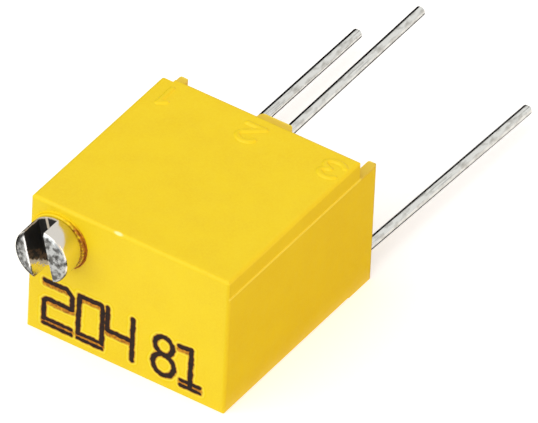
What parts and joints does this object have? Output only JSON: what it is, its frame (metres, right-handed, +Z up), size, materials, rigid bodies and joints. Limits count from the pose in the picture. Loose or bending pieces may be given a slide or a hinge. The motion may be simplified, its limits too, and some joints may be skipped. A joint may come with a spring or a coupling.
{
  "type": "trimmer potentiometer",
  "caption": "Square sealed multi-turn trimmer potentiometer: a corner screw turns a worm wheel and a wiper on a ceramic element, with wire leads for a circuit board.",
  "frame": {"origin": "middle of the housing's filled broad face, which the part lies on", "axes": "+X across the width from lead 1 to lead 3, +Y along the leads away from the screw's head, +Z up out of the lying face"},
  "size_m": [0.0062, 0.0154, 0.0043],
  "materials": {
    "yellow_moulding": "moulded, satin, fine grain",
    "filling": "poured epoxy, satin",
    "alumina": "fired, matt",
    "resistor_film": "fired glassy film",
    "silver_film": "fired silver film, matt",
    "tinned_wire": "tinned, dull bright",
    "solder": "solder, satin",
    "retainer_bronze": "stamped sheet",
    "nickel_plate": "bright nickel plate",
    "seal_rubber": "matt",
    "wheel_nylon": "moulded, satin",
    "hub_plastic": "moulded, satin",
    "wiper_alloy": "stamped sheet, bright"
  },
  "bodies": {
    "case": {"housing": "yellow_moulding", "sealing_resin": "filling", "element_substrate": "alumina", "resistor_track": "resistor_film", "collector_film": "silver_film", "end_film_1": "silver_film", "end_film_3": "silver_film", "lead_1": "tinned_wire", "lead_2": "tinned_wire", "lead_3": "tinned_wire", "solder_joint_1": "solder", "solder_joint_2": "solder", "solder_joint_3": "solder", "screw_retainer": "retainer_bronze"},
    "screw": {"adjusting_screw": "nickel_plate", "screw_seal_ring": "seal_rubber"},
    "rotor": {"worm_wheel": "wheel_nylon", "rotor_hub": "hub_plastic", "wiper_spring": "wiper_alloy"}
  },
  "joints": [
    {"name": "screw_turn", "type": "hinge", "parent": "case", "child": "screw", "pos_m": [-0.00215, 0, 0.00325], "axis": [0, 1, 0], "range_deg": [-1890, 2430]},
    {"name": "rotor_turn", "type": "hinge", "parent": "case", "child": "rotor", "pos_m": [0.00001, -0.00004, 0.00325], "axis": [0, 0, 1], "range_deg": [-105, 135]}
  ],
  "couplings": [
    {"joint": "rotor_turn", "follows": "screw_turn", "ratio": 0.055556}
  ]
}
